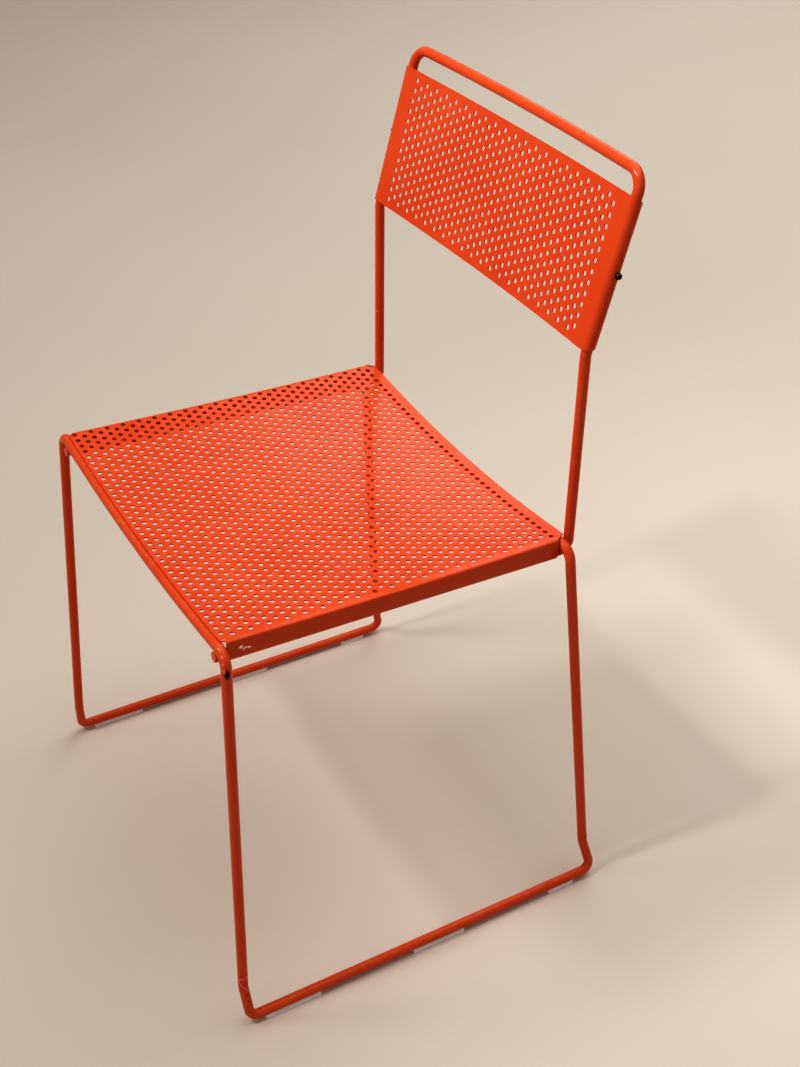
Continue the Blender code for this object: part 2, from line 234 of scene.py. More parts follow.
class Shape:
    """Places that several pieces share, worked out from the sizes."""

    def __init__(self, sizes):
        self.r = sizes.rod / 2
        self.sheet = sizes.sheet
        self.gap = sizes.clearance
        self.hole = sizes.hole
        self.sides = sizes.rod_sides
        self.bumper = sizes.bumper
        self.seat_half = SIDE_X + self.r + self.gap + self.sheet
        self.floor_rail_z = self.r + GLIDE_T
        self.upright_y = BACK_RAIL_Y + 2 * self.r + self.gap

    def top(self, x, y):
        """Height of the seat's upper face, which is dished between its sides."""
        u = (y - FRONT_RAIL_Y) / (BACK_RAIL_Y - FRONT_RAIL_Y)
        middle = SEAT_FRONT_Z + (SEAT_BACK_Z - SEAT_FRONT_Z) * u - SEAT_SAG * 4 * u * (1 - u)
        return middle + (DISH_FRONT + (DISH_BACK - DISH_FRONT) * u) * (x / self.seat_half) ** 2

    def rail_z(self, x, y):
        """Axis of a cross rail that carries the sheet."""
        return self.top(x, y) - self.sheet - self.gap - self.r

    def side_rod_z(self, y):
        """Axis of the side rods, straight from below one cross rail to below the other."""
        def crossing(rail_y):
            rise = (self.top(SIDE_X + self.gap, rail_y) - self.top(SIDE_X, rail_y)) / self.gap
            return self.rail_z(SIDE_X, rail_y) - (2 * self.r + self.gap) * sqrt(1 + rise ** 2)

        front, back = crossing(FRONT_RAIL_Y), crossing(BACK_RAIL_Y)
        return front + (back - front) * (y - FRONT_RAIL_Y) / (BACK_RAIL_Y - FRONT_RAIL_Y)

    def kink(self, side):
        """Corner of an upright where it starts to lean back; side 0 lies in the middle plane."""
        return Vector((side * SIDE_X, self.upright_y + KINK_LEAN, KINK_Z))

    def upright_axis(self):
        """Directions along the upright above its kink, and forward across it."""
        along = Vector((0, BAR_Y - self.upright_y - KINK_LEAN, BAR_Z - KINK_Z)).normalized()
        return along, Vector((0, -along.z, along.y))


def bent_path(corners, closed=False):
    """Points along a rod through its corners, each a (point, bend radius) pair."""
    points, count = [], len(corners)
    for i, (corner, radius) in enumerate(corners):
        if radius <= 0 or (not closed and i in (0, count - 1)):
            points.append(corner.copy())
            continue
        into = (corner - corners[i - 1][0]).normalized()
        out = (corners[(i + 1) % count][0] - corner).normalized()
        turn = into.angle(out)
        start = corner - into * radius * tan(turn / 2)
        centre = start + (out - into * into.dot(out)).normalized() * radius
        axis = into.cross(out).normalized()
        steps = max(3, ceil(turn / radians(BEND_STEP_DEG)))
        for k in range(steps + 1):
            points.append(centre + Matrix.Rotation(turn * k / steps, 3, axis) @ (start - centre))
    return points


def skin(bm, rings, closed=False):
    """Join rings of vertices, each with the next, by quads."""
    for here, there in zip(rings, rings[1:] + (rings[:1] if closed else [])):
        for k in range(len(here)):
            n = (k + 1) % len(here)
            bm.faces.new((here[k], here[n], there[n], there[k]))


def pointed(bm, ring, point):
    """Close a ring of vertices with triangles that meet in a point."""
    tip = bm.verts.new(point)
    for k in range(len(ring)):
        bm.faces.new((ring[k], ring[(k + 1) % len(ring)], tip))


def swept(bm, points, radii, sides, closed=False):
    """Round section carried along the points without twist."""
    count = len(points)
    tangents = []
    for i, point in enumerate(points):
        before = points[i - 1] if closed or i else point
        after = points[(i + 1) % count] if closed or i < count - 1 else point
        tangents.append(((point - before).normalized() + (after - point).normalized()).normalized())
    side = tangents[0].orthogonal().normalized()
    across = [side]
    for i in range(1, count):
        side = tangents[i - 1].rotation_difference(tangents[i]) @ side
        side = (side - tangents[i] * side.dot(tangents[i])).normalized()
        across.append(side)
    spin = 0.0
    if closed:
        last = tangents[-1].rotation_difference(tangents[0]) @ across[-1]
        spin = last.angle(across[0])
        if last.cross(across[0]).dot(tangents[0]) < 0:
            spin = -spin
    rings = []
    for i, point in enumerate(points):
        first = Matrix.Rotation(spin * i / count, 3, tangents[i]) @ across[i]
        second = tangents[i].cross(first)
        rings.append([bm.verts.new(point + radii[i] * (cos(a) * first + sin(a) * second))
                      for a in np.linspace(0, 2 * pi, sides, endpoint=False)])
    skin(bm, rings, closed)
    if not closed:
        bm.faces.new(reversed(rings[0]))
        bm.faces.new(rings[-1])


def piece(name, bm, material, nodes, sharp=35.0):
    """Link a finished bmesh as a piece that rides with the frame in place of its CAD nodes."""
    bmesh.ops.recalc_face_normals(bm, faces=bm.faces)
    mesh = bpy.data.meshes.new(name)
    bm.to_mesh(mesh)
    bm.free()
    mesh.shade_smooth()
    if sharp is not None:
        mesh.set_sharp_from_angle(angle=radians(sharp))
    obj = bpy.data.objects.new(name, mesh)
    bpy.context.scene.collection.objects.link(obj)
    mesh.materials.append(material)
    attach(obj, "root")
    if nodes:
        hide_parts(*nodes)
    return obj


def sheet_metal(obj, shape):
    """Give a surface the sheet's thickness, and the soft edges that a coating leaves on a cut."""
    solid = obj.modifiers.new("thickness", "SOLIDIFY")
    solid.thickness = shape.sheet
    solid.offset = 0
    solid.use_even_offset = True
    soft = obj.modifiers.new("coated edges", "BEVEL")
    soft.width = EDGE_SOFT
    soft.segments = 1
    soft.limit_method = "ANGLE"
    soft.angle_limit = radians(EDGE_SOFT_DEG)
    soft.harden_normals = True


def perforated(bm, place, u_lines, v_lines, centres, radius, ragged):
    """Sheet surface with staggered twelve-sided holes.

    Rows of holes lie between the v lines. Even rows start at the first u line and odd rows at the
    second; where the sheet is ragged, odd rows hold one hole less. Returns the lines' vertices.
    """
    grid = [[bm.verts.new(place(u, v)) for u in u_lines] for v in v_lines]
    steps = len(u_lines) - 1
    for j, v in enumerate(centres["v"]):
        low, high = grid[j], grid[j + 1]
        first = j % 2
        count = steps // 2 - (first if ragged else 0)
        if first:
            bm.faces.new((low[0], low[1], high[1], high[0]))
        for i in range(count):
            k = first + 2 * i
            u = centres["u"] + (k + 1) * centres["half"]
            outer = (low[k], low[k + 1], low[k + 2], high[k + 2], high[k + 1], high[k])
            # the ring starts at 210 degrees, nearest to the first outer corner
            ring = [bm.verts.new(place(u + radius * cos(radians(a)), v + radius * sin(radians(a))))
                    for a in range(210, 570, 30)]
            for n in range(6):
                m = (n + 1) % 6
                bm.faces.new((outer[n], outer[m], ring[2 * m], ring[2 * n + 1], ring[2 * n]))
        k = first + 2 * count
        if k < steps:
            bm.faces.new((low[k], low[k + 1], high[k + 1], high[k]))
    return grid


def fold(bm, edge, rows):
    """Carry an open edge of the surface on through rows of points."""
    for points in rows:
        row = [bm.verts.new(point) for point in points]
        for k in range(len(row) - 1):
            bm.faces.new((edge[k], edge[k + 1], row[k + 1], row[k]))
        edge = row
    return edge


# Materials

def add(tree, kind, inputs=None, **settings):
    """Add a node, set its properties, and set or link each named input."""
    node = tree.nodes.new(kind)
    for key, value in settings.items():
        setattr(node, key, value)
    for key, value in (inputs or {}).items():
        if isinstance(value, bpy.types.NodeSocket):
            tree.links.new(value, node.inputs[key])
        else:
            node.inputs[key].default_value = value
    return node


def new_material(name):
    """Material with its node tree and its principled shader."""
    material = bpy.data.materials.new(name)
    material.use_nodes = True
    tree = material.node_tree
    return material, tree, tree.nodes["Principled BSDF"]


def mark_mask(tree, place, centre, reach, turn, grain, keep):
    """Ragged spot round a centre, at most reach away along its own axes, turned by degrees."""
    from_centre = add(tree, "ShaderNodeVectorMath", {0: place, 1: centre}, operation="SUBTRACT")
    turned = add(tree, "ShaderNodeVectorRotate", {"Vector": from_centre.outputs[0],
                                                  "Rotation": tuple(map(radians, turn))},
                 rotation_type="EULER_XYZ")
    scaled = add(tree, "ShaderNodeVectorMath", {0: turned.outputs[0], 1: reach}, operation="DIVIDE")
    length = add(tree, "ShaderNodeVectorMath", {0: scaled.outputs[0]}, operation="LENGTH")
    rough = add(tree, "ShaderNodeMath", {0: grain, 1: MARK_RAGGED, 2: length.outputs["Value"]},
                operation="MULTIPLY_ADD")
    spot = add(tree, "ShaderNodeMapRange", {"Value": rough.outputs[0], "From Max": keep,
                                            "From Min": keep + MARK_EDGE,
                                            "To Min": 0.0, "To Max": 1.0})
    return spot.outputs[0]


def powder_coat(name, colour, marks):
    """Polyester powder coat baked on steel: glossy, faintly dimpled, chipped where it is knocked.

    The dimples of a baked coat, 1 to 2 mm apart, break up its reflections. Dust of some 6 mm grain
    dulls what lies flat. Knocks show pale primer, dark rust, or a paler scuff of the coat itself.
    Some pale marks are painted highlights, and one is a painted reflection.
    """
    material, tree, shader = new_material(name)
    place = add(tree, "ShaderNodeTexCoord").outputs["Object"]
    shade = add(tree, "ShaderNodeTexNoise", {"Vector": place, "Scale": 1 / 0.090, "Detail": 3.0})
    deep = (colour[0] * 0.90, colour[1] * 0.80, colour[2] * 0.80)
    pale = (min(1.0, colour[0] * 1.04), colour[1] * 1.25, colour[2] * 1.40)
    tone = add(tree, "ShaderNodeMix", {"Factor": shade.outputs["Fac"], 6: (*deep, 1),
                                       7: (*pale, 1)}, data_type="RGBA")
    dust = add(tree, "ShaderNodeTexNoise", {"Vector": place, "Scale": 1 / 0.0065, "Detail": 6.0,
                                            "Roughness": 0.7})
    facing = add(tree, "ShaderNodeNewGeometry").outputs["Normal"]
    up = add(tree, "ShaderNodeSeparateXYZ", {0: facing})
    lies = add(tree, "ShaderNodeMapRange", {"Value": up.outputs["Z"], "From Min": 0.4,
                                            "From Max": 1.0, "To Min": 0.0, "To Max": 0.30})
    specks = add(tree, "ShaderNodeMapRange", {"Value": dust.outputs["Fac"], "From Min": 0.50,
                                              "From Max": 0.78, "To Min": 0.0, "To Max": 1.0})
    dusty = add(tree, "ShaderNodeMath", {0: lies.outputs[0], 1: specks.outputs[0]},
                operation="MULTIPLY")
    tone = add(tree, "ShaderNodeMix", {"Factor": dusty.outputs[0], 6: tone.outputs[2],
                                       7: (*linear(DUST_COLOUR), 1)}, data_type="RGBA")
    grain = add(tree, "ShaderNodeTexNoise", {"Vector": place, "Scale": 1 / 0.0011, "Detail": 3.0})
    wear_and_glint_marks = None
    # the marks are wear, and a few of them paint glints and a reflection: painted highlights
    for kind, centre, reach, keep, *turn in marks:
        mask = mark_mask(tree, place, centre, reach, turn or (0, 0, 0), grain.outputs["Fac"], keep)
        tone = add(tree, "ShaderNodeMix", {"Factor": mask, 6: tone.outputs[2],
                                           7: (*linear(MARK_COLOURS[kind]), 1)}, data_type="RGBA")
        if wear_and_glint_marks is None:
            wear_and_glint_marks = mask
        else:
            wear_and_glint_marks = add(tree, "ShaderNodeMath", {0: wear_and_glint_marks, 1: mask},
                          operation="MAXIMUM").outputs[0]
    tree.links.new(tone.outputs[2], shader.inputs["Base Color"])
    sheen = add(tree, "ShaderNodeTexNoise", {"Vector": place, "Scale": 1 / 0.022, "Detail": 4.0})
    gloss = add(tree, "ShaderNodeMapRange", {"Value": sheen.outputs["Fac"], "From Min": 0.3,
                                             "From Max": 0.7, "To Min": 0.12, "To Max": 0.21})
    rough = add(tree, "ShaderNodeMath", {0: dusty.outputs[0], 1: 0.5, 2: gloss.outputs[0]},
                operation="MULTIPLY_ADD")
    if wear_and_glint_marks is not None:
        rough = add(tree, "ShaderNodeMath", {0: wear_and_glint_marks, 1: 0.3, 2: rough.outputs[0]},
                    operation="MULTIPLY_ADD")
    tree.links.new(rough.outputs[0], shader.inputs["Roughness"])
    peel = add(tree, "ShaderNodeTexNoise", {"Vector": place, "Scale": 1 / 0.0015, "Detail": 1.5})
    bump = add(tree, "ShaderNodeBump", {"Height": peel.outputs["Fac"], "Strength": 0.22,
                                        "Distance": 0.00018})
    if wear_and_glint_marks is not None:
        step = add(tree, "ShaderNodeMath", {0: wear_and_glint_marks, 1: -1.0}, operation="MULTIPLY")
        bump = add(tree, "ShaderNodeBump", {"Height": step.outputs[0], "Strength": 0.6,
                                            "Distance": 0.00012, "Normal": bump.outputs[0]})
    tree.links.new(bump.outputs[0], shader.inputs["Normal"])
    shader.inputs["IOR"].default_value = 1.5
    shader.inputs["Specular IOR Level"].default_value = 0.25
    return material


def natural_nylon(name, colour):
    """Injection moulded natural nylon: milky, for light spreads inside it, and scuffed matt."""
    material, tree, shader = new_material(name)
    place = add(tree, "ShaderNodeTexCoord").outputs["Object"]
    cloud = add(tree, "ShaderNodeTexNoise", {"Vector": place, "Scale": 1 / 0.012, "Detail": 3.0})
    worn = tuple(c * 0.95 for c in colour)
    tone = add(tree, "ShaderNodeMix", {"Factor": cloud.outputs["Fac"], 6: (*worn, 1),
                                       7: (*colour, 1)}, data_type="RGBA")
    tree.links.new(tone.outputs[2], shader.inputs["Base Color"])
    scuff = add(tree, "ShaderNodeTexNoise", {"Vector": place, "Scale": 1 / 0.0025, "Detail": 5.0})
    rough = add(tree, "ShaderNodeMapRange", {"Value": scuff.outputs["Fac"], "To Min": 0.28,
                                             "To Max": 0.55})
    tree.links.new(rough.outputs[0], shader.inputs["Roughness"])
    bump = add(tree, "ShaderNodeBump", {"Height": scuff.outputs["Fac"], "Strength": 0.15,
                                        "Distance": 0.0002})
    tree.links.new(bump.outputs[0], shader.inputs["Normal"])
    shader.inputs["IOR"].default_value = 1.53
    shader.inputs["Subsurface Weight"].default_value = 0.5
    shader.inputs["Subsurface Radius"].default_value = (0.0030, 0.0026, 0.0023)
    shader.inputs["Subsurface Scale"].default_value = 1.0
    return material


def black_polyamide(name, colour):
    """Turned and polished black polyamide: deep and glossy, hazy in specks of about 2 mm."""
    material, tree, shader = new_material(name)
    place = add(tree, "ShaderNodeTexCoord").outputs["Object"]
    haze = add(tree, "ShaderNodeTexNoise", {"Vector": place, "Scale": 1 / 0.0018, "Detail": 4.0})
    grey = tuple(c * 2.2 for c in colour)
    tone = add(tree, "ShaderNodeMix", {"Factor": haze.outputs["Fac"], 6: (*colour, 1),
                                       7: (*grey, 1)}, data_type="RGBA")
    tree.links.new(tone.outputs[2], shader.inputs["Base Color"])
    rough = add(tree, "ShaderNodeMapRange", {"Value": haze.outputs["Fac"], "To Min": 0.10,
                                             "To Max": 0.30})
    tree.links.new(rough.outputs[0], shader.inputs["Roughness"])
    shader.inputs["IOR"].default_value = 1.53
    return material


def matt_floor(name, colour):
    """Matt rolled floor paint: roller stipple about 3 mm apart, and very slight clouds."""
    material, tree, shader = new_material(name)
    place = add(tree, "ShaderNodeTexCoord").outputs["Object"]
    cloud = add(tree, "ShaderNodeTexNoise", {"Vector": place, "Scale": 1 / 0.8, "Detail": 3.0})
    shade = tuple(c * 0.93 for c in colour)
    tone = add(tree, "ShaderNodeMix", {"Factor": cloud.outputs["Fac"], 6: (*shade, 1),
                                       7: (*colour, 1)}, data_type="RGBA")
    tree.links.new(tone.outputs[2], shader.inputs["Base Color"])
    stipple = add(tree, "ShaderNodeTexNoise", {"Vector": place, "Scale": 1 / 0.003, "Detail": 2.0})
    bump = add(tree, "ShaderNodeBump", {"Height": stipple.outputs["Fac"], "Strength": 0.10,
                                        "Distance": 0.0005})
    tree.links.new(bump.outputs[0], shader.inputs["Normal"])
    shader.inputs["Roughness"].default_value = 0.72
    return material


# Wear, and a few painted highlights: kind, centre, reach, how much of the reach is filled,
# and a turn where a mark lies askew
LEG_MARKS = (
    ("rust", (0.2065, -0.1977, 0.4200), (0.0040, 0.0040, 0.0085), 1.25),
    ("primer", (0.2075, -0.1985, 0.4275), (0.0025, 0.0030, 0.0020), 1.35),
    # the next three: pale dots down the near front bend, scuffs that also stand in for its glints
    # (painted highlights)
    ("scuff", (0.1990, -0.1990, 0.4350), (0.0030, 0.0022, 0.0034), 1.20),
    ("scuff", (0.2030, -0.2000, 0.4300), (0.0030, 0.0018, 0.0034), 1.20),
    ("scuff", (0.2050, -0.2000, 0.4235), (0.0030, 0.0018, 0.0034), 1.20),
    ("scuff", (0.2345, -0.2080, 0.0625), (0.0100, 0.0100, 0.0007), 1.60, -7.2, 41.6, 0.0),
    ("scuff", (0.2352, -0.2080, 0.0497), (0.0100, 0.0100, 0.0006), 1.50, 58.7, -5.0, 0.0),
    # a dark streak down the back outer side of the near front leg, low down
    ("rust", (0.2340, -0.1990, 0.0980), (0.0030, 0.0040, 0.0280), 1.15),
    ("rust", (0.2370, -0.2060, 0.0400), (0.0030, 0.0030, 0.0022), 1.20),
    ("rust", (0.2380, -0.2050, 0.0320), (0.0030, 0.0022, 0.0030), 1.15),
    ("rust", (0.2340, 0.1975, 0.0560), (0.0050, 0.0050, 0.0070), 1.20),
    ("rust", (0.2420, -0.1100, 0.0090), (0.0030, 0.0120, 0.0040), 1.10),
    ("rust", (0.2420, 0.0700, 0.0095), (0.0030, 0.0100, 0.0030), 1.10),
    ("primer", (-0.2120, -0.1960, 0.3050), (0.0050, 0.0050, 0.0040), 1.10),
)
BACK_MARKS = (
    ("scuff", (-0.1842, 0.1600, 0.5033), (0.0080, 0.0080, 0.0008), 1.45),
    ("scuff", (-0.1842, 0.1600, 0.4440), (0.0080, 0.0080, 0.0008), 1.40),
    ("rust", (0.1842, 0.1660, 0.4330), (0.0060, 0.0060, 0.0060), 1.15),
)
SEAT_MARKS = (
    ("primer", (0.1910, -0.1774, 0.4314), (0.0030, 0.0026, 0.0020), 1.50),
    ("primer", (0.1910, -0.1738, 0.4292), (0.0030, 0.0034, 0.0012), 1.50, -28.0, 0.0, 0.0),
    ("primer", (0.1910, -0.1702, 0.4290), (0.0030, 0.0030, 0.0014), 1.50, 24.0, 0.0, 0.0),
    ("primer", (0.1860, -0.1906, 0.4392), (0.0030, 0.0030, 0.0030), 1.30),
)
PANEL_MARKS = (
    # painted reflection: a pale streak down the outer side of the right roll
    ("scuff", (0.1908, 0.1900, 0.7100), (0.0040, 0.0040, 0.0300), 1.05),
)


# Pieces

class CHAIR_OT_leg_frame(bpy.types.Operator):
    """Bend the closed rod that makes the cross rails, legs and floor rails"""
    bl_idname = "chair.leg_frame"
    bl_label = "Leg frame"

    def execute(self, context):
        shape = Shape(context.scene.chair_sizes)

        def leg(side, rail_y, foot_line_y, foot_y):
            top = Vector((side * LEG_TOP_X, rail_y, shape.rail_z(LEG_TOP_X, rail_y)))
            foot_line = Vector((side * LEG_FOOT_X, foot_line_y, shape.floor_rail_z))
            lift = (KICK_Z - shape.floor_rail_z) / (top.z - shape.floor_rail_z)
            foot = Vector((side * FOOT_X, foot_y, shape.floor_rail_z))
            return [(top, CORNER_R), (foot_line.lerp(top, lift), KICK_R), (foot, FOOT_R)]

        def rail(y):
            reach = LEG_TOP_X - CURVE_END * CORNER_R
            return [(Vector((x, y, shape.rail_z(x, y))), 0)
                    for x in np.linspace(-reach, reach, RAIL_POINTS)]

        corners = rail(FRONT_RAIL_Y)
        corners += leg(1, FRONT_RAIL_Y, FRONT_LEG_Y, FRONT_FOOT_Y)
        corners += reversed(leg(1, BACK_RAIL_Y, BACK_LEG_Y, BACK_FOOT_Y))
        corners += reversed(rail(BACK_RAIL_Y))
        corners += leg(-1, BACK_RAIL_Y, BACK_LEG_Y, BACK_FOOT_Y)
        corners += reversed(leg(-1, FRONT_RAIL_Y, FRONT_LEG_Y, FRONT_FOOT_Y))
        points = bent_path(corners, closed=True)
        bm = bmesh.new()
        swept(bm, points, [shape.r] * len(points), shape.sides, closed=True)
        coat = powder_coat("powder coated bent steel rod, legs",
                           context.scene.chair_colours.coat, LEG_MARKS)
        piece("leg_rod", bm, coat, ["leg_frame"])
        return {"FINISHED"}


class CHAIR_OT_back_frame(bpy.types.Operator):
    """Bend the open rod that carries the seat's flanges and the back panel"""
    bl_idname = "chair.back_frame"
    bl_label = "Back frame"

    def execute(self, context):
        shape = Shape(context.scene.chair_sizes)

        def half(side):
            x = side * SIDE_X
            end_y = FRONT_RAIL_Y - STUB
            return [(Vector((x, end_y, shape.side_rod_z(end_y))), 0),
                    (Vector((x, shape.upright_y, shape.side_rod_z(shape.upright_y))),
                     2 * shape.r + shape.gap),
                    (shape.kink(side), KINK_R), (Vector((x, BAR_Y, BAR_Z)), BAR_R)]

        reach = SIDE_X - CURVE_END * BAR_R
        bar = [(Vector((x, BAR_Y + BAR_BOW * (1 - (x / SIDE_X) ** 2), BAR_Z)), 0)
               for x in np.linspace(-reach, reach, BAR_POINTS)]
        points = bent_path(half(-1) + bar + list(reversed(half(1))))
        radii = [shape.r] * len(points)
        for end, inner in ((0, 1), (-1, -2)):
            into = (points[inner] - points[end]).normalized()
            at = 1 if end == 0 else len(points) - 1
            points.insert(at, points[end] + into * SAWN_EDGE)
            radii.insert(at, shape.r)
            radii[end] = shape.r - SAWN_EDGE
        bm = bmesh.new()
        swept(bm, points, radii, shape.sides)
        coat = powder_coat("powder coated bent steel rod, back",
                           context.scene.chair_colours.coat, BACK_MARKS)
        piece("back_rod", bm, coat, ["back_frame"])
        return {"FINISHED"}


class CHAIR_OT_seat(bpy.types.Operator):
    """Punch, dish and flange the seat sheet"""
    bl_idname = "chair.seat"
    bl_label = "Seat sheet"

    @staticmethod
    def corner(front, run):
        """Outline of a corner from the flange's end to the sheet's: how far in, and how far out."""
        if front:
            return [(0, 0), (RELIEF_IN, 0)] + [
                (RELIEF_IN + CORNER_ROUND * (1 - cos(t)), run - CORNER_ROUND * (1 - sin(t)))
                for t in np.radians((0, 15, 30, 45))]
        return [(0, 0), BACK_CUT] + [(BACK_CUT[0] + inset, run - short)
                                     for inset, short in BACK_CUT_ROUND]

    def execute(self, context):
        shape = Shape(context.scene.chair_sizes)
        middle = shape.sheet / 2
        fold_r = BEND_R - middle
        edge_x = shape.seat_half - middle - fold_r
        roll = shape.r + shape.gap + middle
        ends = (FRONT_RAIL_Y + shape.r + RELIEF, BACK_RAIL_Y - shape.r - RELIEF)
        front_y = FRONT_RAIL_Y + SEAT_SETBACK
        back_y = shape.upright_y - shape.r - shape.gap

        def place(x, y):
            return Vector((x, y, shape.top(x, y) - middle))

        half = SEAT_PITCH / 2
        u_lines = [SEAT_HOLES_X + half * k for k in range(2 * SEAT_HOLES_IN_ROW + 2)]
        u_lines[0], u_lines[-1] = -edge_x, edge_x
        rows = [SEAT_HOLES_Y + SEAT_ROW_STEP * j for j in range(SEAT_HOLE_ROWS)]
        centres = {"v": rows, "u": SEAT_HOLES_X, "half": half}
        v_lines = [front_y, *[v + SEAT_ROW_STEP / 2 for v in rows[:-1]], back_y]
        bm = bmesh.new()
        grid = perforated(bm, place, u_lines, v_lines, centres, shape.hole / 2, False)
        for side, column in ((-1, 0), (1, -1)):
            line = [row[column] for row in grid]
            for y, corner, inward in zip(ends, (line[0], line[-1]), (1, -1)):
                k = next(k for k in range(len(line) - 1) if line[k].co.y < y < line[k + 1].co.y)
                outline = self.corner(inward == 1, abs(corner.co.y - y))
                points = [(side * (edge_x - inset), y - inward * out) for inset, out in outline]
                for x, at in points[-2::-1] if inward == 1 else points[:-1]:
                    edge = bm.edges.get((line[k], line[k + 1]))
                    fresh = bmesh.utils.edge_split(edge, line[k], 0.5)[1]
                    fresh.co = place(x, at)
                    k += 1
                    line.insert(k, fresh)
                corner.co = place(*points[-1])
            edge = [v for v in line if abs(v.co.x) > edge_x - TOUCHING]
            base = [v.co.copy() for v in edge]
            turns = np.linspace(0, pi / 2, FOLD_POINTS)[1:]
            edge = fold(bm, edge, [[p + Vector((side * fold_r * sin(a), 0, fold_r * (cos(a) - 1)))
                                    for p in base] for a in turns])
            rolled = []
            for a in np.linspace(0, radians(FLANGE_DEG), FLANGE_POINTS):
                back = ends[1] - min(LIP_CUT, max(0.0, a - radians(LIP_START_DEG)) * LIP_SLANT)
                rolled.append([Vector((side * (SIDE_X + roll * cos(a)), y,
                                       shape.side_rod_z(y) - roll * sin(a)))
                               for y in (ends[0], back)])
            first = [bm.verts.new(p) for p in rolled[0]]
            bm.faces.new([*edge, first[1], first[0]])
            fold(bm, first, rolled[1:])
        coat = powder_coat("powder coated punched steel sheet, seat",
                           context.scene.chair_colours.coat, SEAT_MARKS)
        sheet_metal(piece("seat_sheet", bm, coat, ["seat_pan"], sharp=None), shape)
        return {"FINISHED"}


class CHAIR_OT_back(bpy.types.Operator):
    """Punch the back sheet and roll its sides round the uprights"""
    bl_idname = "chair.back"
    bl_label = "Back sheet"

    def execute(self, context):
        shape = Shape(context.scene.chair_sizes)
        along, ahead = shape.upright_axis()
        roll = shape.r + shape.gap + shape.sheet / 2
        low = shape.kink(0) + along * PANEL_LOW

        def place(height, x):
            bow = PANEL_BOW * (1 - (x / SIDE_X) ** 2)
            return low + along * height + Vector((x, 0, 0)) + ahead * (roll - bow)

        half = PANEL_PITCH / 2
        start = PANEL_H / 2 - PANEL_HOLES_IN_COLUMN * half
        u_lines = [start + half * k for k in range(2 * PANEL_HOLES_IN_COLUMN + 1)]
        u_lines[0], u_lines[-1] = 0.0, PANEL_H
        columns = [PANEL_HOLES_X + PANEL_COLUMN_STEP * j for j in range(PANEL_HOLE_COLUMNS)]
        centres = {"v": columns, "u": start, "half": half}
        v_lines = [-SIDE_X, *[v + PANEL_COLUMN_STEP / 2 for v in columns[:-1]], SIDE_X]
        bm = bmesh.new()
        grid = perforated(bm, place, u_lines, v_lines, centres, shape.hole / 2, True)
        for side, line in ((-1, grid[0]), (1, grid[-1])):
            axis = [v.co - ahead * roll for v in (line[0], line[-1])]
            rolled = []
            for a in np.linspace(0, radians(WRAP_DEG), WRAP_POINTS)[1:]:
                out = Vector((side * sin(a), 0, 0)) + ahead * cos(a)
                inset = along * roll * a * tan(radians(WRAP_TAPER_DEG))
                rolled.append([axis[0] + out * roll + inset, axis[1] + out * roll - inset])
            first = [bm.verts.new(p) for p in rolled[0]]
            bm.faces.new([*line, first[1], first[0]])
            fold(bm, first, rolled[1:])
        coat = powder_coat("powder coated punched steel sheet, back",
                           context.scene.chair_colours.coat, PANEL_MARKS)
        sheet_metal(piece("back_sheet", bm, coat, ["back_panel"], sharp=None), shape)
        return {"FINISHED"}


class CHAIR_OT_welds(bpy.types.Operator):
    """Squeeze the flash out where the rods of both frames are welded across each other"""
    bl_idname = "chair.welds"
    bl_label = "Welds"

    def execute(self, context):
        shape = Shape(context.scene.chair_sizes)
        coat = powder_coat("powder coated weld flash", context.scene.chair_colours.coat, ())
        for place, y in (("front", FRONT_RAIL_Y), ("back", BACK_RAIL_Y)):
            for hand, side in (("right", 1), ("left", -1)):
                z = shape.side_rod_z(y) + shape.r + shape.gap / 2
                middle, rise = Vector((side * SIDE_X, y, z)), Vector((0, 0, WELD_HALF))
                bm = bmesh.new()
                rings = []
                for tilt in np.linspace(-pi / 2, pi / 2, WELD_LAYERS + 1)[1:-1]:
                    ring = []
                    for turn in np.linspace(0, 2 * pi, WELD_SIDES, endpoint=False):
                        # the outline is uneven, in five large and nine small waves
                        swell = 1 + 0.10 * sin(5 * turn + side) + 0.06 * cos(9 * turn)
                        out = Vector((cos(turn), sin(turn), 0)) * WELD_R * swell
                        ring.append(bm.verts.new(middle + out * cos(tilt) + rise * sin(tilt)))
                    rings.append(ring)
                skin(bm, rings)
                pointed(bm, rings[0], middle - rise)
                pointed(bm, rings[-1], middle + rise)
                piece(f"weld_{place}_{hand}", bm, coat, None, sharp=None)
        return {"FINISHED"}


